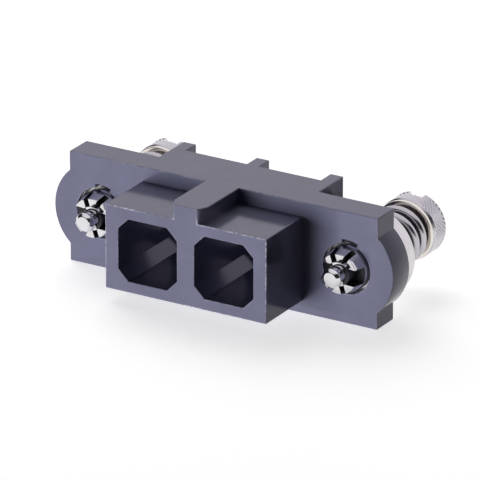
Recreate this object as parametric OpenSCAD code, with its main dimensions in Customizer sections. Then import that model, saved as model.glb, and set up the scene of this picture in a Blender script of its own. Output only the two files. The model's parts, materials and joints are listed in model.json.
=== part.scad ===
// Rectangular power connector: a moulded housing with a row of square contact cavities,
// held to its mating half by two captive, spring-loaded, part-turn locks.
//
// Working frame of the modules: X along the row of cavities, Y from the mating face to
// the rear, Z up. y = 0 is the flange's front face, z = 0 the plane of the two lock axes.
// seat() moves that frame to the middle of the face that the connector rests on.

/* [Cavities] */
// Number of contact cavities in the row
ways = 2; // [2:1:6]
// Distance between the cavities' centres
pitch = 4; // [3.6:0.1:6]
// Width of a cavity
cavity_w = 3.08; // [2.6:0.02:3.4]
// Height of a cavity
cavity_h = 3.02; // [2.6:0.02:3.6]
// Chamfer on the four corners of a cavity
cavity_chamfer = 0.53; // [0.2:0.01:0.9]
// Radius of the contact's entry hole behind a cavity
entry_r = 1.2; // [0.8:0.05:1.3]
// Thickness of the web that the entry hole goes through
web_t = 0.8; // [0.4:0.05:1.2]

/* [Nose] */
// Depth of the nose ahead of the flange
nose_depth = 3.2; // [2:0.1:6]
// Wall beside the outer cavities
side_wall = 0.69; // [0.5:0.01:1.2]
// Wall above and below the cavities
nose_wall = 0.54; // [0.4:0.01:1]
// Width of the polarising rib on the nose
rib_w = 1.78; // [1:0.02:2.6]
// Width of the chamfer on each front corner of the rib
rib_chamfer_w = 0.27; // [0.1:0.01:0.4]
// Length of the chamfer on each front corner of the rib
rib_chamfer_l = 0.54; // [0.2:0.02:1]

/* [Flange] */
// Thickness of the flange
flange_t = 1.48; // [1.2:0.02:2.4]
// Height of the flange and the rib above the nose
top_step = 0.7; // [0.4:0.05:1.2]
// Depth of the flange below the nose
bottom_step = 0.6; // [0.4:0.05:1.2]
// Distance from the nose's side to a lock's axis
lock_offset = 2.27; // [2.2:0.01:3.5]
// Distance from a lock's axis to the flange's straight end
flange_end = 1.62; // [1.4:0.02:2.2]
// Radius of the round lobe about a lock's axis
lobe_r = 2.43; // [2.3:0.01:2.6]

/* [Rear] */
// Depth of the rear body behind the flange
rear_depth = 1.29; // [0.8:0.01:3]
// Width of each wall that stands out behind the rear body
tab_w = 0.68; // [0.4:0.02:0.9]
// Length of each wall that stands out behind the rear body
tab_l = 0.89; // [0.4:0.01:2]

/* [Lock screw] */
// Radius of the shank
shank_r = 0.7; // [0.6:0.05:0.8]
// Radius of the tip ahead of the cam
tip_r = 0.46; // [0.36:0.02:0.5]
// Reach of the tip ahead of the flange
tip_reach = 1.47; // [1.2:0.01:2.5]
// Chamfer on the end of the tip
tip_chamfer = 0.14; // [0.02:0.01:0.2]
// Radius of the seat behind the tip, which the cam is pressed on
seat_r = 0.58; // [0.54:0.02:0.62]
// Radius of the knurled head
head_r = 1.5; // [1.3:0.05:2]
// Length of the knurled head
head_t = 1.2; // [0.9:0.05:2]
// Chamfer on both edges of the knurled head
head_chamfer = 0.14; // [0.04:0.01:0.2]
// Width of the screwdriver slot
slot_w = 0.8; // [0.4:0.02:1]
// Depth of the screwdriver slot
slot_depth = 0.5; // [0.3:0.02:0.7]

/* [Lock cam] */
// Radius of the cam behind its cone
cam_r = 1.1; // [0.95:0.01:1.2]
// Reach of the cam ahead of the flange
cam_reach = 0.75; // [0.5:0.01:1.1]
// Radius of the cam's front edge, where its cone starts
cam_nose_r = 0.94; // [0.8:0.01:0.95]
// Length of the cam's cone
cam_cone = 0.7; // [0.3:0.02:0.9]
// Width of the keyway across the cam's front
keyway_w = 0.8; // [0.5:0.02:0.9]
// Width of each relief slot beside the upper and the lower lug
relief_w = 0.26; // [0.15:0.01:0.3]
// Angle between a relief slot and the keyway
relief_angle = 67.5; // [62:0.5:72]
// Depth of the keyway and the relief slots
groove_depth = 0.64; // [0.3:0.02:0.8]
// Turn of the keyway from the row's axis
keyway_turn = 4; // [-10:1:10]

/* [Lock recess] */
// Depth of the recess in the flange that takes the cam
recess_depth = 0.5; // [0.45:0.02:0.8]
// Radial clearance between the cam and its recess
recess_clear = 0.12; // [0.05:0.01:0.2]
// Depth of the index notch in the recess's edge
notch_depth = 0.35; // [0.1:0.02:0.45]
// Radial height of the index notch
notch_h = 0.17; // [0.08:0.01:0.25]
// Half of the angle that the index notch covers
notch_half_angle = 17; // [8:1:30]
// Direction of the index notch, from the row's axis towards the top
notch_angle = 83; // [30:1:150]

/* [Lock bush] */
// Radius of the sleeve that is pressed into the flange
sleeve_r = 1.55; // [1.45:0.05:1.7]
// Radius of the collar behind the flange
collar_r = 2.15; // [1.9:0.05:2.4]
// Thickness of the collar
collar_t = 1.07; // [0.4:0.01:1.4]
// Chamfer on the collar's rear edge
collar_chamfer = 0.08; // [0.02:0.01:0.2]
// Radial clearance of the shank in the bush
shank_clear = 0.05; // [0.02:0.01:0.1]

/* [Spring and washer] */
// Diameter of the spring's wire
wire_d = 0.4; // [0.25:0.01:0.45]
// Length of the fitted spring
spring_len = 2.65; // [2.4:0.05:4]
// Turns that lie closed at each end of the spring
closed_turns = 1; // [0.5:0.25:1.5]
// Turns that are free to close up
active_turns = 1.4; // [1:0.1:3]
// Radial clearance of the spring round the shank
spring_clear = 0.3; // [0.15:0.01:0.4]
// Radius of the thrust washer between the spring and the head
washer_r = 1.46; // [1.3:0.02:1.9]
// Thickness of the thrust washer
washer_t = 0.2; // [0.1:0.02:0.4]
// Radial clearance of the thrust washer on the shank
washer_clear = 0.06; // [0.02:0.01:0.1]
// Axial play where a moving face meets its seat
play = 0.01; // [0.005:0.005:0.03]

/* [Hidden] */
$fn = 64;

// Amount by which a cut runs past the face it opens
over = 0.2;

// Width and half height of the nose, and the heights of the flange's two long edges
nose_w = (ways - 1) * pitch + cavity_w + 2 * side_wall;
nose_half_h = cavity_h / 2 + nose_wall;
top_z = nose_half_h + top_step;
bottom_z = -nose_half_h - bottom_step;
body_h = top_z - bottom_z;

// Places along X
lock_x = nose_w / 2 + lock_offset;
flange_w = 2 * (lock_x + flange_end);

// Places along Y
rear_y = flange_t + rear_depth;
cavity_end_y = rear_y - web_t;
collar_y = flange_t + collar_t;
washer_y = collar_y + spring_len;
head_y = washer_y + washer_t + play;
head_end_y = head_y + head_t;
cam_seat_y = recess_depth - play;
mid_y = (head_end_y - nose_depth) / 2;

// Radii that follow from a clearance
recess_r = cam_r + recess_clear;
bush_bore_r = shank_r + shank_clear;
washer_bore_r = shank_r + washer_clear;
coil_r = shank_r + spring_clear + wire_d / 2;

// Rings along one turn of the wire, and points round the wire
turn_steps = 20;
wire_steps = 10;

plastic = [0.42, 0.42, 0.49];
nickel = [0.82, 0.82, 0.84];
steel = [0.72, 0.73, 0.75];
spring_steel = [0.66, 0.66, 0.68];

// Working frame to the middle of the face that the connector rests on
module seat() {
    translate([0, -mid_y, -bottom_z]) children();
}

// Things drawn along +Z, set on the lock's axis at x and turned to run along +Y.
// The drawing's +Y then points down, so an angle towards the top is negative in it.
module at_lock(x) {
    seat() translate([x, 0, 0]) rotate([-90, 0, 0]) children();
}

// A block by its centre in X and its limits in Y and Z
module block(x, w, y, z) {
    translate([x - w / 2, y[0], z[0]]) cube([w, y[1] - y[0], z[1] - z[0]]);
}

// Centres of the cavities along X
function cavity_x(i) = (i - (ways - 1) / 2) * pitch;

// Opening of one cavity, a rectangle with chamfered corners
module cavity_outline() {
    w = cavity_w / 2;
    h = cavity_h / 2;
    c = cavity_chamfer;
    polygon([
        [w, h - c], [w - c, h], [c - w, h], [-w, h - c],
        [-w, c - h], [c - w, -h], [w - c, -h], [w, c - h],
    ]);
}

// One cavity from the mating face to its web, and the entry hole behind it
module cavity(x) {
    depth = cavity_end_y + nose_depth + over;
    translate([x, cavity_end_y, 0]) rotate([90, 0, 0])
        linear_extrude(depth) cavity_outline();
    translate([x, cavity_end_y - over, 0]) rotate([-90, 0, 0])
        cylinder(h = web_t + 2 * over, r = entry_r);
}

// Rib along the top of the nose, seen from above, with both front corners cut off
module rib() {
    w = rib_w / 2;
    front = -nose_depth;
    translate([0, 0, nose_half_h - over]) linear_extrude(top_step + over) polygon([
        [rib_chamfer_w - w, front], [w - rib_chamfer_w, front],
        [w, front + rib_chamfer_l], [w, over],
        [-w, over], [-w, front + rib_chamfer_l],
    ]);
}

// Stepped hole for the cam and the bush, with the index notch in its front edge
module lock_hole(x) {
    translate([x, 0, 0]) rotate([-90, 0, 0]) {
        translate([0, 0, -over]) cylinder(h = recess_depth + 2 * over, r = recess_r);
        translate([0, 0, recess_depth]) cylinder(h = flange_t - recess_depth + over, r = sleeve_r);
        translate([0, 0, -over]) linear_extrude(notch_depth + over) notch_outline();
    }
}

// Sector of a ring, drawn about the direction of the notch
module notch_outline() {
    reach = 2 * recess_r;
    half_w = reach * tan(notch_half_angle);
    intersection() {
        circle(r = recess_r + notch_h);
        rotate(-notch_angle) polygon([[0, 0], [reach, -half_w], [reach, half_w]]);
    }
}

// Walls at the ends of the rear body and between its entry holes
module rear_walls() {
    y = [rear_y - over, rear_y + tab_l];
    z = [bottom_z, top_z];
    end_x = (nose_w - tab_w) / 2;
    for (x = [-end_x, end_x]) block(x, tab_w, y, z);
    for (i = [0:ways - 2]) block(cavity_x(i) + pitch / 2, tab_w, y, z);
}

module housing() {
    color(plastic) seat() difference() {
        union() {
            block(0, flange_w, [0, flange_t], [bottom_z, top_z]);
            for (x = [-lock_x, lock_x])
                translate([x, 0, 0]) rotate([-90, 0, 0]) cylinder(h = flange_t, r = lobe_r);
            block(0, nose_w, [-nose_depth, over], [-nose_half_h, nose_half_h]);
            rib();
            block(0, nose_w, [over, rear_y], [bottom_z, top_z]);
            rear_walls();
        }
        for (i = [0:ways - 1]) cavity(cavity_x(i));
        for (x = [-lock_x, lock_x]) lock_hole(x);
    }
}

// Turned bush: the sleeve is pressed into the flange, the collar carries the spring
module bush(x) {
    c = collar_chamfer;
    color(nickel) at_lock(x) rotate_extrude() polygon([
        [bush_bore_r, recess_depth], [sleeve_r, recess_depth],
        [sleeve_r, flange_t], [collar_r, flange_t],
        [collar_r, collar_y - c], [collar_r - c, collar_y],
        [bush_bore_r, collar_y],
    ]);
}

// Height of the wire's centre after a number of turns: closed, then open, then closed
turns = 2 * closed_turns + active_turns;
free_rise = spring_len - 2 * play - wire_d * (1 + 2 * closed_turns);
function wire_rise(t) =
    wire_d * min(t, closed_turns)
    + free_rise * max(0, min(1, (t - closed_turns) / active_turns))
    + wire_d * max(0, t - closed_turns - active_turns);

// Points of the wire's round section after a number of turns
function wire_ring(t) = [
    for (j = [0:wire_steps - 1])
        let (
            a = j * 360 / wire_steps,
            r = coil_r + wire_d / 2 * cos(a),
            z = wire_rise(t) + wire_d / 2 * sin(a)
        )
        [r * cos(360 * t), r * sin(360 * t), z]
];

// Round wire coiled about +Z, its two ends cut square
module coil() {
    last = ceil(turns * turn_steps);
    points = [for (i = [0:last]) each wire_ring(turns * i / last)];
    sides = [
        for (i = [0:last - 1])
            for (j = [0:wire_steps - 1])
                let (k = (j + 1) % wire_steps, a = i * wire_steps, b = a + wire_steps)
                [a + j, b + j, b + k, a + k]
    ];
    start = [for (j = [0:wire_steps - 1]) j];
    end = [for (j = [wire_steps - 1:-1:0]) last * wire_steps + j];
    polyhedron(points, concat(sides, [start, end]));
}

module spring(x) {
    color(spring_steel) at_lock(x)
        translate([0, 0, collar_y + play + wire_d / 2]) coil();
}

// Flat ring that slides on the shank and takes the spring's push
module thrust_washer(x) {
    color(nickel) at_lock(x) translate([0, 0, washer_y]) difference() {
        cylinder(h = washer_t, r = washer_r);
        translate([0, 0, -over]) cylinder(h = washer_t + 2 * over, r = washer_bore_r);
    }
}

// Turned screw: tip, shank and knurled head in one piece, slotted across the head
module lock_screw(x) {
    c = head_chamfer;
    color(steel) at_lock(x) difference() {
        rotate_extrude() polygon([
            [0, -tip_reach], [tip_r - tip_chamfer, -tip_reach], [tip_r, tip_chamfer - tip_reach],
            [tip_r, -cam_reach], [seat_r, -cam_reach], [seat_r, cam_seat_y],
            [shank_r, cam_seat_y], [shank_r, head_y],
            [head_r - c, head_y], [head_r, head_y + c],
            [head_r, head_end_y - c], [head_r - c, head_end_y], [0, head_end_y],
        ]);
        translate([-slot_w / 2, -head_r - over, head_end_y - slot_depth])
            cube([slot_w, 2 * (head_r + over), slot_depth + over]);
    }
}

// Envelope of the cam: a cone that opens towards the flange, then a cylinder
module cam_envelope() {
    rotate_extrude() polygon([
        [0, -cam_reach], [cam_nose_r, -cam_reach],
        [cam_r, cam_cone - cam_reach], [cam_r, cam_seat_y], [0, cam_seat_y],
    ]);
}

// Cuts into the cam's front, which part two lugs and four teeth: one keyway, four slots
module cam_cuts() {
    reach = cam_r + over;
    translate([-reach, -keyway_w / 2]) square([2 * reach, keyway_w]);
    for (a = [relief_angle, 180 - relief_angle, 180 + relief_angle, -relief_angle])
        rotate(a) translate([0, -relief_w / 2]) square([reach, relief_w]);
}

// Cam pressed on the screw's seat, with an unbroken ring behind the cuts
module lock_cam(x) {
    length = cam_reach + cam_seat_y;
    color(steel) at_lock(x) difference() {
        cam_envelope();
        translate([0, 0, -cam_reach - over]) {
            cylinder(h = length + 2 * over, r = seat_r);
            rotate(keyway_turn) linear_extrude(groove_depth + over) cam_cuts();
        }
    }
}

module left_bush() { bush(-lock_x); }
module right_bush() { bush(lock_x); }
module left_spring() { spring(-lock_x); }
module right_spring() { spring(lock_x); }
module left_thrust_washer() { thrust_washer(-lock_x); }
module right_thrust_washer() { thrust_washer(lock_x); }
module left_lock_screw() { lock_screw(-lock_x); }
module right_lock_screw() { lock_screw(lock_x); }
module left_lock_cam() { lock_cam(-lock_x); }
module right_lock_cam() { lock_cam(lock_x); }

housing();
left_bush();
right_bush();
left_spring();
right_spring();
left_thrust_washer();
right_thrust_washer();
left_lock_screw();
right_lock_screw();
left_lock_cam();
right_lock_cam();
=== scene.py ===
"""Dressed rectangular connector with two spring-loaded part-turn locks, on a white studio table."""
import json
from math import atan2, cos, hypot, radians, sin, tau

import bmesh
import bpy
from bpy.props import FloatProperty, FloatVectorProperty, IntProperty, PointerProperty
from mathutils import Matrix, Vector


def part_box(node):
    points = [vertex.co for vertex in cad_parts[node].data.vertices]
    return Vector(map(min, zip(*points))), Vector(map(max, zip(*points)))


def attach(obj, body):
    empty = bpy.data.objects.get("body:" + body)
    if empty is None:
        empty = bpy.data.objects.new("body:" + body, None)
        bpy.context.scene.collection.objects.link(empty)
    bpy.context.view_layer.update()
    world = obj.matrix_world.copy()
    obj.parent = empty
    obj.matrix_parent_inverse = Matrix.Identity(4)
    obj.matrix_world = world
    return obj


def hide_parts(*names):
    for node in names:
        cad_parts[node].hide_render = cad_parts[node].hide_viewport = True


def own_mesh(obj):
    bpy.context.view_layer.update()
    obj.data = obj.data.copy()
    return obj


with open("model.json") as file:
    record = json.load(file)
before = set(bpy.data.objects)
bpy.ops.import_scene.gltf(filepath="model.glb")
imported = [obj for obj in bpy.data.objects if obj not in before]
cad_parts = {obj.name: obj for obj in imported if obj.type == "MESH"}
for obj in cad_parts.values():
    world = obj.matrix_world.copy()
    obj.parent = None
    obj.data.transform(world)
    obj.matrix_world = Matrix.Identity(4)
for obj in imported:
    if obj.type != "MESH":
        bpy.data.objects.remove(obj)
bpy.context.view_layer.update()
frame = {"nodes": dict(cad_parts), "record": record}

bl_info = {
    "name": "Part-turn lock connector",
    "version": (1, 0, 0),
    "blender": (4, 5, 0),
    "location": "3D View > Sidebar > Connector",
    "description": "Builds the housing, its two spring-loaded locks and a white studio table",
    "category": "Add Mesh",
}

MM = 0.001
MICRON = 0.000001
SIDES = ("left", "right")

# Distance under which two points of a mesh are the same point
MERGE = 0.1 * MICRON
# Angle under which two CAD faces are one flat side
FLAT = radians(0.5)
# Angles over which an edge is rounded: on a turned piece, on a moulded or milled one, on a slot
TURNED_EDGE = radians(20)
CUT_EDGE = radians(30)
SLOT_EDGE = radians(40)
# Angle over which an inner corner is kept sharp
INNER_CORNER = radians(20)
# Sides of a turned circle, steps in a turn of a spring, and sides of its wire
TURNED_SIDES = 128
COIL_STEPS = 48
WIRE_SIDES = 16

# Paleness of the nose's outer edges, which rub against the other half, and of the cavities' rims
# and the other edges, which only wear in handling. The paleness is partly wear and partly a painted
# highlight along the rounded edges
NOSE_EDGE_WEAR_AND_HIGHLIGHT = 1.0
HANDLED_EDGE_WEAR_AND_HIGHLIGHT = 0.3
# Order of the finishes of a lock screw
HEAD, TIP, SEAT, SHANK = range(4)

# Most values of a noise lie in this span
NOISE_SPAN = {"From Min": 0.3, "From Max": 0.7}

# Lamps that stand for light from the table: name, strength, and turn from the front to the right
GLOWS = (("front_glow", 3.6, radians(-20)), ("rear_glow", 2.2, radians(-160)))
GLOW_RISE = radians(-7)
GLOW_SPREAD = radians(32)
# Soft box high up behind on the left
BOX_PLACE = (-110 * MM, 90 * MM, 150 * MM)
BOX_SIZE = 160 * MM
BOX_POWER = 0.2
# Fill light of the surroundings, and what shiny faces see overhead, as parts of white
FILL = 0.25
OVERHEAD = 0.9
# Light that the table itself gives off, as a part of white
TABLE_GLOW = 0.68
TABLE_REACH = 600 * MM
# A hair's breadth under the base, so that the two faces don't lie in one plane
TABLE_GAP = 0.01 * MM
# Width of the camera's sensor in millimetres
SENSOR_W = 36


def to_linear(code):
    """Linear colour of an sRGB hex code."""
    channels = [int(code[i:i + 2], 16) / 255 for i in (1, 3, 5)]
    return tuple(c / 12.92 if c <= 0.04045 else ((c + 0.055) / 1.055) ** 2.4 for c in channels)


def opaque(colour):
    """A colour property as the four numbers that a colour socket takes."""
    return (*colour, 1.0)


def axis_point(node, y=0.0):
    """Point on the axis along Y through the middle of a CAD node's box."""
    low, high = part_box(node)
    return Vector(((low.x + high.x) / 2, y, (low.z + high.z) / 2))


class HousingSettings(bpy.types.PropertyGroup):
    """Finish of the moulded housing."""
    edge: FloatProperty(
        name="Edge radius", description="Radius that the mould leaves on the outer edges",
        default=0.05 * MM, unit="LENGTH", precision=6)
    rim_reach: FloatProperty(
        name="Rim reach",
        description="Distance from a cavity's middle, across or up, that takes in its rim",
        default=1.8 * MM, unit="LENGTH", precision=6)
    colour: FloatVectorProperty(
        name="Plastic", description="Colour of the moulded plastic",
        default=to_linear("#68697f"), size=3, subtype="COLOR")
    # Pale edge colour: partly wear, partly a painted highlight along the rounded edges
    scuffed_and_highlit: FloatVectorProperty(
        name="Worn and highlit edge", description="Colour of worn edges and of the painted highlight along rounded edges",
        default=to_linear("#b9b8c6"), size=3, subtype="COLOR")


class LockSettings(bpy.types.PropertyGroup):
    """Sizes and colours of the metal parts of a lock."""
    tip_r: FloatProperty(
        name="Tip radius", description="Radius of the screw ahead of the cam",
        default=0.46 * MM, unit="LENGTH", precision=6)
    tip_chamfer: FloatProperty(
        name="Tip chamfer", description="Chamfer on the end of the tip",
        default=0.14 * MM, unit="LENGTH", precision=6)
    seat_r: FloatProperty(
        name="Seat radius", description="Radius of the seat that carries the cam",
        default=0.58 * MM, unit="LENGTH", precision=6)
    shank_r: FloatProperty(
        name="Shank radius", description="Radius of the shank inside the spring",
        default=0.7 * MM, unit="LENGTH", precision=6)
    head_chamfer: FloatProperty(
        name="Head chamfer", description="Chamfer on both edges of the knurled head",
        default=0.14 * MM, unit="LENGTH", precision=6)
    head_gap: FloatProperty(
        name="Head gap", description="Play between the head and its thrust washer",
        default=0.01 * MM, unit="LENGTH", precision=6)
    slot_w: FloatProperty(
        name="Slot width", description="Width of the screwdriver slot",
        default=0.8 * MM, unit="LENGTH", precision=6)
    slot_depth: FloatProperty(
        name="Slot depth", description="Depth of the screwdriver slot",
        default=0.5 * MM, unit="LENGTH", precision=6)
    knurl_teeth: IntProperty(
        name="Knurl points", description="Knurl points round the head", default=44, min=12)
    knurl_rows: IntProperty(
        name="Knurl rows", description="Rows of knurl points along the head", default=4, min=2)
    knurl_depth: FloatProperty(
        name="Knurl depth", description="Depth of the knurl's grooves",
        default=0.04 * MM, unit="LENGTH", precision=6)
    sleeve_r: FloatProperty(
        name="Sleeve radius", description="Radius of the bush's sleeve inside the flange",
        default=1.55 * MM, unit="LENGTH", precision=6)
    sleeve_len: FloatProperty(
        name="Sleeve length", description="Length of the bush's sleeve inside the flange",
        default=0.98 * MM, unit="LENGTH", precision=6)
    bush_bore_r: FloatProperty(
        name="Bush bore", description="Radius of the bush's bore",
        default=0.75 * MM, unit="LENGTH", precision=6)
    collar_chamfer: FloatProperty(
        name="Collar chamfer", description="Chamfer on the collar's rear edge",
        default=0.08 * MM, unit="LENGTH", precision=6)
    washer_bore_r: FloatProperty(
        name="Washer bore", description="Radius of the thrust washer's hole",
        default=0.76 * MM, unit="LENGTH", precision=6)
    wire_r: FloatProperty(
        name="Wire radius", description="Radius of the spring's wire",
        default=0.2 * MM, unit="LENGTH", precision=6)
    closed_turns: FloatProperty(
        name="Closed turns", description="Turns that lie closed at each end of the spring",
        default=1.0)
    active_turns: FloatProperty(
        name="Active turns", description="Turns that close up as the lock is pushed", default=1.4)
    edge: FloatProperty(
        name="Edge radius", description="Radius left on the metal's edges by tumbling",
        default=0.02 * MM, unit="LENGTH", precision=6)
    keyway_w: FloatProperty(
        name="Keyway width", description="Width of the cut across the cam and its seat",
        default=0.8 * MM, unit="LENGTH", precision=6)
    keyway_turn: FloatProperty(
        name="Keyway turn",
        description="Turn of the keyway from the connector's length, clockwise from the front",
        default=radians(4), subtype="ANGLE")
    cam_edge: FloatProperty(
        name="Cam edge radius", description="Radius left on the cams' teeth by polishing",
        default=0.045 * MM, unit="LENGTH", precision=6)
    steel: FloatVectorProperty(
        name="Stainless steel", description="Colour of the heads",
        default=to_linear("#d0cdd2"), size=3, subtype="COLOR")
    polish: FloatVectorProperty(
        name="Polished steel", description="Colour of the polished cams and tips",
        default=to_linear("#e2e1e4"), size=3, subtype="COLOR")
    # The shank's colour is painted dark as the shade between the spring's coils
    shank: FloatVectorProperty(
        name="Shank painted dark as shade", description="Colour of the shanks inside the springs, painted dark as the shade between the coils",
        default=to_linear("#5c5a58"), size=3, subtype="COLOR")
    washer: FloatVectorProperty(
        name="Washer", description="Colour of the thrust washers",
        default=to_linear("#ebe5db"), size=3, subtype="COLOR")
    # Dull cut steel, its colour painted dark as the shade inside the cuts and the keyway
    sawn_and_shaded: FloatVectorProperty(
        name="Sawn steel painted dark as shade", description="Colour inside the cams' cuts",
        default=to_linear("#4a494e"), size=3, subtype="COLOR")
    nickel: FloatVectorProperty(
        name="Nickel", description="Colour of the bushes' plating",
        default=to_linear("#d8d5d6"), size=3, subtype="COLOR")
    wire: FloatVectorProperty(
        name="Spring wire", description="Colour of the springs",
        default=to_linear("#c4c1c6"), size=3, subtype="COLOR")


class StageSettings(bpy.types.PropertyGroup):
    """Camera and table."""
    azimuth: FloatProperty(
        name="Azimuth", description="Turn of the camera to the right of the mating face",
        default=radians(30.818), subtype="ANGLE")
    elevation: FloatProperty(
        name="Elevation", description="Height of the camera above the table",
        default=radians(22.171), subtype="ANGLE")
    distance: FloatProperty(
        name="Distance", description="Distance from the camera to the point it looks at",
        default=332.1 * MM, unit="LENGTH")
    aim: FloatVectorProperty(
        name="Aim", description="Point that the camera looks at",
        default=(0.699 * MM, -1.273 * MM, 2.682 * MM), size=3, unit="LENGTH", precision=6)
    lens: FloatProperty(
        name="Lens", description="Focal length on a sensor 36 mm wide",
        default=550.2, unit="CAMERA")
    floor: FloatVectorProperty(
        name="Table", description="Colour of the table",
        default=to_linear("#f4f4f4"), size=3, subtype="COLOR")


class ConnectorSettings(bpy.types.PropertyGroup):
    """Everything that a user would change."""
    housing: PointerProperty(type=HousingSettings)
    lock: PointerProperty(type=LockSettings)
    stage: PointerProperty(type=StageSettings)


def add(tree, kind, inputs=None, **settings):
    """Add a node, set its settings, and set or link its inputs."""
    node = tree.nodes.new(kind)
    for name, value in settings.items():
        setattr(node, name, value)
    for name, value in (inputs or {}).items():
        if isinstance(value, bpy.types.NodeSocket):
            tree.links.new(value, node.inputs[name])
        else:
            node.inputs[name].default_value = value
    return node


def new_material(name):
    """An empty material and its node tree."""
    made = bpy.data.materials.new(name)
    made.use_nodes = True
    made.node_tree.nodes.clear()
    return made, made.node_tree


def per_metre(size_mm):
    """Scale of a pattern whose cells have this size in millimetres."""
    return 1 / (size_mm * MM)


def moulded_nylon(name, colour, scuffed_and_highlit):
    """Glass-filled nylon, injection moulded: a satin skin that mirrors softly, a fine spark-eroded
    grain, faint clouds where the melt flowed, streaks along the mould, and edges painted paler in
    places, partly as wear and partly as a painted highlight along the rounded edges."""
    made, tree = new_material(name)
    place = add(tree, "ShaderNodeTexCoord").outputs["Object"]
    cloud = add(tree, "ShaderNodeTexNoise", {
        "Vector": place, "Scale": per_metre(1.6), "Detail": 4.0})
    # The real grain is about 0.02 mm, too fine to show, so it is drawn at 0.06 mm
    grain = add(tree, "ShaderNodeTexNoise", {
        "Vector": place, "Scale": per_metre(0.06), "Detail": 2.0})
    # The mould's polishing marks are about 0.02 mm wide, too fine to show, so they are drawn
    # 0.08 mm wide
    stretched = add(tree, "ShaderNodeMapping", {
        "Vector": place, "Scale": (per_metre(2.5), per_metre(0.08), per_metre(0.08))})
    streaks = add(tree, "ShaderNodeTexNoise", {
        "Vector": stretched.outputs["Vector"], "Scale": 1.0, "Detail": 2.0})
    # Edges are painted pale in short dashes, in the stretches that have been handled most: partly
    # chips and wear, partly a painted highlight along the rounded edges
    chips = add(tree, "ShaderNodeTexNoise", {
        "Vector": place, "Scale": per_metre(0.18), "Detail": 2.0})
    handling = add(tree, "ShaderNodeTexNoise", {
        "Vector": place, "Scale": per_metre(2.4), "Detail": 1.0})
    edge = add(tree, "ShaderNodeAttribute", attribute_name="edge_wear_and_highlight")

    clouded = add(tree, "ShaderNodeMapRange", {
        "Value": cloud.outputs["Fac"], **NOISE_SPAN, "To Min": 0.92, "To Max": 1.08})
    streaked = add(tree, "ShaderNodeMapRange", {
        "Value": streaks.outputs["Fac"], **NOISE_SPAN, "To Min": 0.985, "To Max": 1.015})
    shade = add(tree, "ShaderNodeMath", {
        0: clouded.outputs["Result"], 1: streaked.outputs["Result"]}, operation="MULTIPLY")
    body = add(tree, "ShaderNodeVectorMath", {
        0: colour, "Scale": shade.outputs["Value"]}, operation="SCALE")
    chipped = add(tree, "ShaderNodeMapRange", {
        "Value": chips.outputs["Fac"],
        "From Min": 0.38, "From Max": 0.56, "To Min": 0.1, "To Max": 1.0})
    handled = add(tree, "ShaderNodeMapRange", {
        "Value": handling.outputs["Fac"],
        "From Min": 0.4, "From Max": 0.58, "To Min": 0.15, "To Max": 1.0})
    rubs = add(tree, "ShaderNodeMath", {
        0: chipped.outputs["Result"], 1: handled.outputs["Result"]}, operation="MULTIPLY")
    # Pale edges, partly wear and partly a painted highlight along the rounded edges
    wear_and_highlight = add(tree, "ShaderNodeMath", {
        0: edge.outputs["Fac"], 1: rubs.outputs["Value"]}, operation="MULTIPLY")
    tint = add(tree, "ShaderNodeMix", {
        "Factor": wear_and_highlight.outputs["Value"], 6: body.outputs["Vector"], 7: opaque(scuffed_and_highlit)},
        data_type="RGBA")
    rough = add(tree, "ShaderNodeMapRange", {
        "Value": streaks.outputs["Fac"], **NOISE_SPAN, "To Min": 0.13, "To Max": 0.18})
    bump = add(tree, "ShaderNodeBump", {
        "Strength": 0.1, "Distance": 3 * MICRON, "Height": grain.outputs["Fac"]})
    surface = add(tree, "ShaderNodeBsdfPrincipled", {
        "Base Color": tint.outputs[2], "Roughness": rough.outputs["Result"], "IOR": 1.53,
        "Specular Tint": (0.8, 0.74, 1.0, 1.0), "Normal": bump.outputs["Normal"]})
    add(tree, "ShaderNodeOutputMaterial", {"Surface": surface.outputs["BSDF"]})
    return made


def lined_metal(name, colour, roughness, line_mm, depth, way="turning"):
    """Bright metal with fine lines that spread a highlight across them. The lines follow an
    attribute: the way along a turned profile, for rings of the lathe, or the way round a wire, for
    scores of the die."""
    made, tree = new_material(name)
    place = add(tree, "ShaderNodeTexCoord").outputs["Object"]
    along = add(tree, "ShaderNodeAttribute", attribute_name=way)
    lines = add(tree, "ShaderNodeTexNoise", {
        "W": along.outputs["Fac"], "Scale": per_metre(line_mm), "Detail": 3.0},
        noise_dimensions="1D")
    smear = add(tree, "ShaderNodeTexNoise", {
        "Vector": place, "Scale": per_metre(0.5), "Detail": 3.0})
    rough = add(tree, "ShaderNodeMapRange", {
        "Value": smear.outputs["Fac"], **NOISE_SPAN,
        "To Min": roughness * 0.75, "To Max": roughness * 1.35})
    shade = add(tree, "ShaderNodeMapRange", {
        "Value": lines.outputs["Fac"], **NOISE_SPAN, "To Min": 0.88, "To Max": 1.03})
    tint = add(tree, "ShaderNodeVectorMath", {
        0: colour, "Scale": shade.outputs["Result"]}, operation="SCALE")
    bump = add(tree, "ShaderNodeBump", {
        "Strength": 0.5, "Distance": depth, "Height": lines.outputs["Fac"]})
    surface = add(tree, "ShaderNodeBsdfPrincipled", {
        "Base Color": tint.outputs["Vector"], "Metallic": 1.0,
        "Roughness": rough.outputs["Result"], "Normal": bump.outputs["Normal"]})
    add(tree, "ShaderNodeOutputMaterial", {"Surface": surface.outputs["BSDF"]})
    return made


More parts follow.
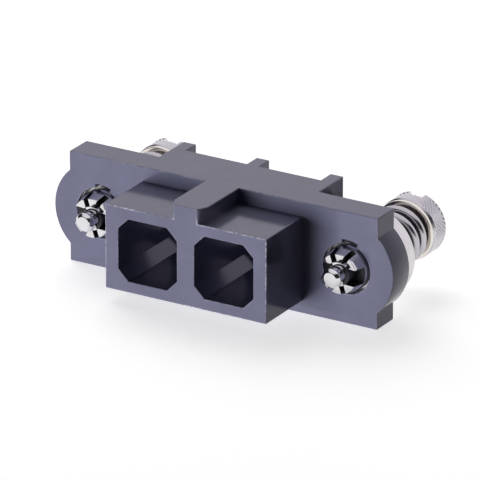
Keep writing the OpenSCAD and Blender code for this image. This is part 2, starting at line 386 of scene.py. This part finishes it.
def polished_steel(name, colour):
    """Stainless steel tumbled to a polish: almost a mirror, with a few dull patches and hair
    scratches."""
    made, tree = new_material(name)
    place = add(tree, "ShaderNodeTexCoord").outputs["Object"]
    dull = add(tree, "ShaderNodeTexNoise", {
        "Vector": place, "Scale": per_metre(0.3), "Detail": 4.0})
    # Hair scratches are a few microns wide, too fine to show, so they are drawn 0.03 mm wide and
    # 0.4 mm long
    stretched = add(tree, "ShaderNodeMapping", {
        "Vector": place, "Rotation": (0.3, 0.5, 0.9),
        "Scale": (per_metre(0.03), per_metre(0.4), per_metre(0.03))})
    hairs = add(tree, "ShaderNodeTexNoise", {
        "Vector": stretched.outputs["Vector"], "Scale": 1.0, "Detail": 2.0})
    rough = add(tree, "ShaderNodeMapRange", {
        "Value": dull.outputs["Fac"],
        "From Min": 0.4, "From Max": 0.75, "To Min": 0.05, "To Max": 0.16})
    shade = add(tree, "ShaderNodeMapRange", {
        "Value": dull.outputs["Fac"], **NOISE_SPAN, "To Min": 1.02, "To Max": 0.9})
    tint = add(tree, "ShaderNodeVectorMath", {
        0: colour, "Scale": shade.outputs["Result"]}, operation="SCALE")
    bump = add(tree, "ShaderNodeBump", {
        "Strength": 0.2, "Distance": 1 * MICRON, "Height": hairs.outputs["Fac"]})
    surface = add(tree, "ShaderNodeBsdfPrincipled", {
        "Base Color": tint.outputs["Vector"], "Metallic": 1.0,
        "Roughness": rough.outputs["Result"], "Normal": bump.outputs["Normal"]})
    add(tree, "ShaderNodeOutputMaterial", {"Surface": surface.outputs["BSDF"]})
    return made


def soften(bm, width, least_angle, segments=3, chosen=None):
    """Round the convex edges that are sharper than an angle. Returns the new faces."""
    sharp = [
        e for e in (bm.edges if chosen is None else chosen)
        if e.is_manifold and e.is_convex and e.calc_face_angle() > least_angle
    ]
    return bmesh.ops.bevel(
        bm, geom=sharp, offset=width, offset_type="OFFSET", affect="EDGES", segments=segments,
        profile=0.5, material=-1, clamp_overlap=True)["faces"]


def merged_copy(node):
    """A CAD node's mesh as a bmesh with shared points and one face for each flat side."""
    bm = bmesh.new()
    bm.from_mesh(frame["nodes"][node].data)
    bmesh.ops.remove_doubles(bm, verts=bm.verts, dist=MERGE)
    bmesh.ops.dissolve_limit(bm, angle_limit=FLAT, verts=bm.verts, edges=bm.edges)
    for face in bm.faces:
        face.smooth = True
    return bm


def turned(profile, steps, closed=False):
    """A solid of revolution about the Y axis from the radius and place of each corner of its
    profile."""
    bm = bmesh.new()
    corners = [bm.verts.new((r, y, 0)) for r, y in profile]
    pairs = list(zip(corners, corners[1:]))
    if closed:
        pairs.append((corners[-1], corners[0]))
    lines = [bm.edges.new(pair) for pair in pairs]
    bmesh.ops.spin(
        bm, geom=corners + lines, cent=(0, 0, 0), axis=(0, 1, 0), angle=tau, steps=steps,
        use_merge=True)
    bmesh.ops.remove_doubles(bm, verts=bm.verts, dist=MERGE)
    bmesh.ops.recalc_face_normals(bm, faces=bm.faces)
    for face in bm.faces:
        face.smooth = True
    return bm


def count_turning(bm):
    """Give each point of a shape about the Y axis its way along the profile, for the rings of the
    lathe."""
    way = bm.verts.layers.float.new("turning")
    for v in bm.verts:
        v[way] = v.co.y + hypot(v.co.x, v.co.z)


def finish_piece(bm, name, place, materials, body, node):
    """Move a finished bmesh to its place and make it the visible piece for a CAD node."""
    bmesh.ops.translate(bm, vec=place, verts=bm.verts)
    # Inner corners have no rounding, so they are kept sharp, and the flat sides that meet there
    # stay flat
    for edge in bm.edges:
        outer = not edge.is_manifold or edge.is_convex
        edge.smooth = outer or edge.calc_face_angle() < INNER_CORNER
    mesh = bpy.data.meshes.new(name)
    bm.to_mesh(mesh)
    bm.free()
    for material in materials:
        mesh.materials.append(material)
    piece = bpy.data.objects.new(name, mesh)
    bpy.context.scene.collection.objects.link(piece)
    piece.modifiers.new("Flat sides", "WEIGHTED_NORMAL").keep_sharp = True
    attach(piece, body)
    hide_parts(node)
    return piece


class CONNECTOR_OT_housing(bpy.types.Operator):
    """Dress the housing: the CAD form with moulded edges"""
    bl_idname = "connector.housing"
    bl_label = "Housing"

    def execute(self, context):
        look = context.scene.connector.housing
        bm = merged_copy("housing")
        # Mask of the pale edges: partly wear, partly a painted highlight along the rounded edges
        edge_wear_and_highlight = bm.faces.layers.float.new("edge_wear_and_highlight")
        mating_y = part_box("housing")[0].y + 2 * look.edge
        mounts = frame["record"]["mounts"]
        cavities = [Vector(m["pos_m"]) for m in mounts if m["kind"] == "bore"]
        for face in soften(bm, look.edge, CUT_EDGE):
            centre = face.calc_center_median()
            rim = any(
                max(abs(centre.x - c.x), abs(centre.z - c.z)) < look.rim_reach for c in cavities)
            rubs = centre.y < mating_y and not rim
            face[edge_wear_and_highlight] = NOSE_EDGE_WEAR_AND_HIGHLIGHT if rubs else HANDLED_EDGE_WEAR_AND_HIGHLIGHT
            face.smooth = True
        nylon = moulded_nylon("Moulded glass-filled nylon", look.colour, look.scuffed_and_highlit)
        finish_piece(
            bm, "housing_moulding", (0, 0, 0), [nylon], "housing", "housing")
        return {"FINISHED"}


class CONNECTOR_OT_bushes(bpy.types.Operator):
    """Turn the two plated bushes behind the flange"""
    bl_idname = "connector.bushes"
    bl_label = "Bushes"

    def execute(self, context):
        look = context.scene.connector.lock
        # Nickel over turned brass: bright and a little warm, with fine rings from the lathe
        nickel = lined_metal(
            "Nickel-plated turned brass", look.nickel, roughness=0.2, line_mm=0.05,
            depth=2 * MICRON)
        for side in SIDES:
            node = f"{side}_bush"
            low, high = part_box(node)
            collar_r = (high.x - low.x) / 2
            shoulder_y = low.y + look.sleeve_len
            c = look.collar_chamfer
            bm = turned([
                (look.bush_bore_r, low.y), (look.sleeve_r, low.y), (look.sleeve_r, shoulder_y),
                (collar_r, shoulder_y), (collar_r, high.y - c), (collar_r - c, high.y),
                (look.bush_bore_r, high.y),
            ], TURNED_SIDES, closed=True)
            soften(bm, look.edge, TURNED_EDGE)
            count_turning(bm)
            finish_piece(
                bm, f"{side}_turned_bush", axis_point(node), [nickel], "housing",
                node)
        return {"FINISHED"}


class CONNECTOR_OT_springs(bpy.types.Operator):
    """Coil the two compression springs"""
    bl_idname = "connector.springs"
    bl_label = "Springs"

    def execute(self, context):
        look = context.scene.connector.lock
        # Spring steel drawn through a die: bright, with scores along the wire. They are about
        # 0.01 mm apart, too fine to show, so they are drawn 0.05 mm apart
        wire = lined_metal(
            "Drawn stainless spring wire", look.wire, roughness=0.2, line_mm=0.05,
            depth=2 * MICRON, way="round_wire")
        for side in SIDES:
            node = f"{side}_spring"
            low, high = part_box(node)
            length = high.y - low.y
            bm = coiled(look, (high.x - low.x) / 2 - look.wire_r, length)
            seat = axis_point(node, low.y)
            spring = finish_piece(
                bm, f"{side}_coil_spring", seat, [wire], "housing", node)
            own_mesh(spring)
        return {"FINISHED"}


def coiled(look, coil_r, length):
    """Round wire coiled about the Y axis from y = 0, closed at both ends."""
    wire_d = 2 * look.wire_r
    free_rise = length - wire_d * (1 + 2 * look.closed_turns)
    bm = bmesh.new()
    round_wire = bm.verts.layers.float.new("round_wire")
    section = bmesh.ops.create_circle(
        bm, cap_ends=True, segments=WIRE_SIDES, radius=look.wire_r,
        matrix=Matrix.Translation((coil_r, look.wire_r, 0)))
    end = section["verts"]
    for v in end:
        # The count's seam is on the side that faces the axis, where it can't be seen
        v[round_wire] = look.wire_r * atan2(v.co.y - look.wire_r, v.co.x - coil_r)
    stretches = (
        (look.closed_turns, wire_d * look.closed_turns),
        (look.active_turns, free_rise),
        (look.closed_turns, wire_d * look.closed_turns),
    )
    last = list({e for v in end for e in v.link_edges}) + end + list(end[0].link_faces)
    for turns, rise in stretches:
        steps = round(turns * COIL_STEPS)
        spun = bmesh.ops.spin(
            bm, geom=last, cent=(0, 0, 0), axis=(0, 1, 0), angle=turns * tau, steps=steps,
            dvec=(0, rise / steps, 0))
        last = spun["geom_last"]
    bmesh.ops.recalc_face_normals(bm, faces=bm.faces)
    for face in bm.faces:
        # Only the wire's two cut ends have more than four corners, and they are flat
        face.smooth = len(face.verts) == 4
    return bm


class CONNECTOR_OT_washers(bpy.types.Operator):
    """Stamp the two thrust washers under the heads"""
    bl_idname = "connector.washers"
    bl_label = "Thrust washers"

    def execute(self, context):
        look = context.scene.connector.lock
        # Nickel silver sheet, stamped and tumbled: bright and a little yellow, with rings where it
        # turns under the head
        silver = lined_metal(
            "Stamped nickel silver", look.washer, roughness=0.16, line_mm=0.08, depth=1 * MICRON)
        for side in SIDES:
            node = f"{side}_thrust_washer"
            low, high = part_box(node)
            outer = (high.x - low.x) / 2
            bm = turned([
                (look.washer_bore_r, low.y), (outer, low.y),
                (outer, high.y), (look.washer_bore_r, high.y),
            ], TURNED_SIDES, closed=True)
            soften(bm, look.edge * 2, TURNED_EDGE)
            count_turning(bm)
            finish_piece(
                bm, f"{side}_stamped_washer", axis_point(node), [silver], f"{side}_slide",
                node)
        return {"FINISHED"}


class CONNECTOR_OT_screws(bpy.types.Operator):
    """Turn the two lock screws, knurl their heads and slot them"""
    bl_idname = "connector.screws"
    bl_label = "Lock screws"

    def execute(self, context):
        look = context.scene.connector.lock
        # Stainless bar from the lathe: satin, with fine rings round the head
        satin = lined_metal(
            "Turned stainless steel", look.steel, roughness=0.26, line_mm=0.05, depth=2 * MICRON)
        # The tip is tumbled with the cam: almost a mirror
        bright = polished_steel("Polished stainless tip", look.polish)
        # Where the keyway crosses the seat, the saw has left it dull, and its colour is painted
        # dark as the shade inside the keyway
        dull = lined_metal(
            "Sawn stainless seat painted dark as shade", look.sawn_and_shaded, roughness=0.45, line_mm=0.04, depth=2 * MICRON)
        # The shank is left as turned: soft, and its colour is painted dark as the shade between the
        # spring's coils
        shade_darkened = lined_metal(
            "Turned stainless painted dark as shade", look.shank, roughness=0.36, line_mm=0.06, depth=2 * MICRON)
        # In the order of HEAD, TIP, SEAT and SHANK
        finishes = [satin, bright, dull, shade_darkened]
        for side in SIDES:
            node = f"{side}_lock_screw"
            low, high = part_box(node)
            cam_low, cam_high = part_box(f"{side}_lock_cam")
            head_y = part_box(f"{side}_thrust_washer")[1].y + look.head_gap
            head_r = (high.x - low.x) / 2
            bm = knurled_screw(look, low.y, cam_low.y, cam_high.y, head_y, high.y, head_r)
            cut_slot(bm, look, high.y)
            count_turning(bm)
            for face in bm.faces:
                centre = face.calc_center_median()
                face.material_index = screw_finish(centre, look, cam_high.y, head_y)
            finish_piece(
                bm, f"{side}_knurled_screw", axis_point(node), finishes, f"{side}_lock",
                node)
        return {"FINISHED"}


def screw_finish(point, look, shank_y, head_y):
    """Which finish a lock screw has at a point. The seat is sawn only where the keyway crosses it,
    and is otherwise polished with the tip."""
    radius = hypot(point.x, point.z)
    if point.y > shank_y:
        return SHANK if point.y < head_y and radius < look.shank_r + look.edge else HEAD
    across = abs(point.x * sin(look.keyway_turn) + point.z * cos(look.keyway_turn))
    return SEAT if radius > look.tip_r + look.edge and across < look.keyway_w / 2 else TIP


def knurled_screw(look, tip_y, seat_y, shank_y, head_y, end_y, head_r):
    """Screw about the Y axis: tip, seat, shank and a head with diamond points all round."""
    c = look.head_chamfer
    # The band stops short of the chamfers' rounded rims
    low_y = head_y + c + 2 * look.edge
    high_y = end_y - c - 2 * look.edge
    row = (high_y - low_y) / (2 * look.knurl_rows)
    bm = turned([
        (0, tip_y), (look.tip_r - look.tip_chamfer, tip_y),
        (look.tip_r, tip_y + look.tip_chamfer), (look.tip_r, seat_y),
        (look.seat_r, seat_y), (look.seat_r, shank_y),
        (look.shank_r, shank_y), (look.shank_r, head_y),
        (head_r - c, head_y), (head_r, head_y + c),
        *((head_r, low_y + i * row) for i in range(2 * look.knurl_rows + 1)),
        (head_r, end_y - c), (head_r - c, end_y), (0, end_y),
    ], 2 * look.knurl_teeth)
    for face in soften(bm, look.edge, TURNED_EDGE, segments=2):
        face.smooth = True

    column = tau / (2 * look.knurl_teeth)
    sunk = [
        v for v in bm.verts
        if hypot(v.co.x, v.co.z) > head_r - MICRON
        and low_y - MICRON < v.co.y < high_y + MICRON
        and (round((v.co.y - low_y) / row) + round(atan2(v.co.z, v.co.x) / column)) % 2
    ]
    inward = (head_r - look.knurl_depth) / head_r
    bmesh.ops.scale(bm, vec=(inward, 1, inward), verts=sunk)
    # Each face is folded along its two low points, so that the high ones stand up as diamonds
    bmesh.ops.connect_verts(bm, verts=sunk)
    for face in {f for v in sunk for f in v.link_faces}:
        face.smooth = False
    return bm


def cut_slot(bm, look, end_y):
    """Mill the screwdriver slot along Z across the rear of the head."""
    half = look.slot_w / 2
    floor_y = end_y - look.slot_depth
    planes = (
        ((0, floor_y, 0), (0, 1, 0)),
        ((half, 0, 0), (1, 0, 0)),
        ((-half, 0, 0), (1, 0, 0)),
    )
    for place, normal in planes:
        faces = [f for f in bm.faces if max(v.co.y for v in f.verts) > floor_y + MICRON]
        parts = {part for f in faces for part in (*f.verts, *f.edges)}
        bmesh.ops.bisect_plane(
            bm, geom=faces + list(parts), dist=MERGE, plane_co=place, plane_no=normal)
    inside = [
        f for f in bm.faces
        if f.calc_center_median().y > floor_y and abs(f.calc_center_median().x) < half
    ]
    bmesh.ops.delete(bm, geom=inside, context="FACES")

    rims = [e for e in bm.edges if e.is_boundary]
    floor_edges = [e for e in rims if all(abs(v.co.y - floor_y) < MICRON for v in e.verts)]
    walls = []
    for x in (-half, half):
        chain = [
            e for e in rims
            if e not in floor_edges and all(abs(v.co.x - x) < MICRON for v in e.verts)
        ]
        ends = {v for e in chain for v in e.verts}
        corner = bm.edges.new([v for v in ends if abs(v.co.y - floor_y) < MICRON])
        floor_edges.append(corner)
        walls += bmesh.ops.contextual_create(bm, geom=chain + [corner])["faces"]
    floor = bmesh.ops.contextual_create(bm, geom=floor_edges)["faces"]
    bmesh.ops.recalc_face_normals(bm, faces=bm.faces)
    mouth = [
        e for w in walls for e in w.edges
        if all(abs(v.co.y - end_y) < MICRON for v in e.verts)
    ]
    for face in soften(bm, look.edge, SLOT_EDGE, segments=2, chosen=mouth) + floor:
        face.smooth = True
    # The rounding leaves points on top of each other where the mouth meets the rim
    bmesh.ops.remove_doubles(bm, verts=bm.verts, dist=MERGE)


class CONNECTOR_OT_cams(bpy.types.Operator):
    """Dress the two slotted cams"""
    bl_idname = "connector.cams"
    bl_label = "Lock cams"

    def execute(self, context):
        look = context.scene.connector.lock
        # Milled stainless steel, tumbled bright: it mirrors the table and the dark studio in front
        bright = polished_steel("Polished stainless steel", look.polish)
        # The tumbling doesn't reach into the cuts: they stay dull, with saw scores, and their
        # colour is painted dark as the shade inside the cuts
        dull = lined_metal(
            "Sawn stainless steel painted dark as shade", look.sawn_and_shaded, roughness=0.45, line_mm=0.04, depth=2 * MICRON)
        for side in SIDES:
            node = f"{side}_lock_cam"
            axis = axis_point(node)
            bm = merged_copy(node)
            bmesh.ops.translate(bm, vec=-axis, verts=bm.verts)
            for face in soften(bm, look.cam_edge, CUT_EDGE):
                face.smooth = True
            front_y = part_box(node)[0].y
            for face in bm.faces:
                face.material_index = int(in_cut(face, front_y))
            count_turning(bm)
            finish_piece(
                bm, f"{side}_slotted_cam", axis, [bright, dull], f"{side}_lock", node)
        return {"FINISHED"}


def in_cut(face, front_y):
    """Whether a face of a cam about the Y axis is a wall or the floor of one of its cuts."""
    centre = face.calc_center_median()
    outward = Vector((centre.x, 0, centre.z)).normalized()
    along_axis = abs(face.normal.y) < 0.1
    sideways = abs(face.normal.dot(outward)) < 0.8
    forwards = face.normal.y < -0.9
    sunk = centre.y > front_y + 0.1 * MM
    return (along_axis and sideways) or (forwards and sunk)


class CONNECTOR_OT_stage(bpy.types.Operator):
    """Set the white table, the soft lights and the camera"""
    bl_idname = "connector.stage"
    bl_label = "Stage"

    def execute(self, context):
        look = context.scene.connector.stage
        scene = context.scene
        scene.view_settings.view_transform = "Standard"
        lay_table(look)
        light_world(scene)
        hang_lights()
        aim_camera(scene, look)
        return {"FINISHED"}


def lay_table(look):
    """White table that glows to the camera and to shiny faces, takes the connector's shadow and
    throws no light back."""
    made, tree = new_material("White laminate table")
    ray = add(tree, "ShaderNodeLightPath").outputs
    mirrored = add(tree, "ShaderNodeMath", {
        0: ray["Is Camera Ray"], 1: ray["Is Glossy Ray"]}, operation="MAXIMUM")
    seen = add(tree, "ShaderNodeMath", {
        0: mirrored.outputs[0], 1: ray["Is Transmission Ray"]}, operation="MAXIMUM")
    dark = add(tree, "ShaderNodeBsdfDiffuse", {"Color": (0, 0, 0, 1)})
    matt = add(tree, "ShaderNodeBsdfDiffuse", {"Color": opaque(look.floor)})
    glow = add(tree, "ShaderNodeEmission", {"Strength": TABLE_GLOW})
    lit = add(tree, "ShaderNodeAddShader", {0: matt.outputs[0], 1: glow.outputs[0]})
    both = add(tree, "ShaderNodeMixShader", {
        "Fac": seen.outputs[0], 1: dark.outputs[0], 2: lit.outputs[0]})
    add(tree, "ShaderNodeOutputMaterial", {"Surface": both.outputs[0]})
    bm = bmesh.new()
    bmesh.ops.create_grid(
        bm, x_segments=1, y_segments=1, size=TABLE_REACH,
        matrix=Matrix.Translation((0, 0, -TABLE_GAP)))
    mesh = bpy.data.meshes.new("table")
    bm.to_mesh(mesh)
    bm.free()
    mesh.materials.append(made)
    table = bpy.data.objects.new("table", mesh)
    # The glows stand for light that the table throws up, so they pass the table
    table.visible_shadow = False
    bpy.context.scene.collection.objects.link(table)


def light_world(scene):
    """White surroundings for the camera. Shiny faces see them white behind the table and overhead,
    and dark on the camera's side, where the studio is unlit. They give only a little fill light."""
    world = bpy.data.worlds.new("White surroundings")
    scene.world = world
    world.use_nodes = True
    tree = world.node_tree
    tree.nodes.clear()
    ray = add(tree, "ShaderNodeLightPath").outputs
    around = add(tree, "ShaderNodeTexCoord").outputs["Generated"]
    direction = add(tree, "ShaderNodeSeparateXYZ", {"Vector": around})
    behind = add(tree, "ShaderNodeMapRange", {
        "Value": direction.outputs["Y"],
        "From Min": 0.1, "From Max": 0.4, "To Min": 0.02, "To Max": 1.0})
    shiny = add(tree, "ShaderNodeMath", {
        0: ray["Is Glossy Ray"], 1: ray["Is Transmission Ray"]}, operation="MAXIMUM")
    level = add(tree, "ShaderNodeMapRange", {
        "Value": shiny.outputs[0], "To Min": FILL, "To Max": 1.0})
    lit = add(tree, "ShaderNodeMath", {
        0: behind.outputs["Result"], 1: level.outputs["Result"]}, operation="MULTIPLY")
    above = add(tree, "ShaderNodeMapRange", {
        "Value": direction.outputs["Z"],
        "From Min": 0.6, "From Max": 0.75, "To Min": 0.0, "To Max": OVERHEAD})
    gleam = add(tree, "ShaderNodeMath", {
        0: above.outputs["Result"], 1: shiny.outputs[0]}, operation="MULTIPLY")
    seen = add(tree, "ShaderNodeMath", {
        0: lit.outputs[0], 1: gleam.outputs[0]}, operation="MAXIMUM")
    strength = add(tree, "ShaderNodeMath", {
        0: seen.outputs[0], 1: ray["Is Camera Ray"]}, operation="MAXIMUM")
    # Shiny faces see the white with a faint lilac cast
    cast = add(tree, "ShaderNodeMix", {
        "Factor": shiny.outputs[0], 6: (1, 1, 1, 1), 7: (1.0, 0.975, 1.025, 1)},
        data_type="RGBA")
    white = add(tree, "ShaderNodeBackground", {
        "Color": cast.outputs[2], "Strength": strength.outputs[0]})
    add(tree, "ShaderNodeOutputWorld", {"Surface": white.outputs["Background"]})


def hang(name, lamp, place):
    """Hang a lamp that points to the origin. The camera doesn't see it, and shiny faces don't need
    to, since they see the glowing table and the white surroundings."""
    hung = bpy.data.objects.new(name, lamp)
    hung.location = place
    hung.rotation_euler = (-place).to_track_quat("-Z", "Y").to_euler()
    hung.visible_camera = False
    hung.visible_glossy = False
    bpy.context.scene.collection.objects.link(hung)


def hang_lights():
    """Soft glows that come up from the table at the front left and behind, and a large soft box
    high up behind on the left."""
    for name, strength, side in GLOWS:
        glow = bpy.data.lights.new(name, "SUN")
        glow.energy = strength
        glow.angle = GLOW_SPREAD
        hang(name, glow, towards(side, GLOW_RISE))
    box = bpy.data.lights.new("overhead_box", "AREA")
    box.shape = "SQUARE"
    box.size = BOX_SIZE
    box.energy = BOX_POWER
    hang("overhead_box", box, Vector(BOX_PLACE))


def towards(side, rise):
    """Direction at a turn to the right of the connector's front and an angle above the table."""
    return Vector((sin(side) * cos(rise), -cos(side) * cos(rise), sin(rise)))


def aim_camera(scene, look):
    """Camera at the photograph's angle, far off with a long lens."""
    back = towards(look.azimuth, look.elevation)
    lens = bpy.data.cameras.new("camera")
    lens.lens = look.lens
    lens.sensor_width = SENSOR_W
    lens.clip_start = 10 * MM
    lens.clip_end = 10
    camera = bpy.data.objects.new("camera", lens)
    camera.location = Vector(look.aim) + back * look.distance
    camera.rotation_euler = back.to_track_quat("Z", "Y").to_euler()
    scene.collection.objects.link(camera)
    scene.camera = camera


class CONNECTOR_PT_sidebar(bpy.types.Panel):
    """Buttons that build the pieces, and the values they are built from"""
    bl_label = "Connector"
    bl_idname = "CONNECTOR_PT_sidebar"
    bl_space_type = "VIEW_3D"
    bl_region_type = "UI"
    bl_category = "Connector"

    def draw(self, context):
        for operator in OPERATORS:
            self.layout.operator(operator.bl_idname)
        settings = context.scene.connector
        for group in (settings.housing, settings.lock, settings.stage):
            box = self.layout.box()
            for name in group.__annotations__:
                box.prop(group, name)


OPERATORS = (
    CONNECTOR_OT_housing, CONNECTOR_OT_bushes, CONNECTOR_OT_springs, CONNECTOR_OT_washers,
    CONNECTOR_OT_screws, CONNECTOR_OT_cams, CONNECTOR_OT_stage,
)
CLASSES = (
    HousingSettings, LockSettings, StageSettings, ConnectorSettings, *OPERATORS,
    CONNECTOR_PT_sidebar,
)


def register():
    """Add the classes and the settings to Blender."""
    for cls in CLASSES:
        bpy.utils.register_class(cls)
    bpy.types.Scene.connector = PointerProperty(type=ConnectorSettings)


def unregister():
    """Take the settings and the classes out of Blender."""
    del bpy.types.Scene.connector
    for cls in reversed(CLASSES):
        bpy.utils.unregister_class(cls)


def main():
    """Build every piece and the stage."""
    register()
    bpy.ops.connector.housing()
    bpy.ops.connector.bushes()
    bpy.ops.connector.springs()
    bpy.ops.connector.washers()
    bpy.ops.connector.screws()
    bpy.ops.connector.cams()
    bpy.ops.connector.stage()


if __name__ == "__main__":
    main()
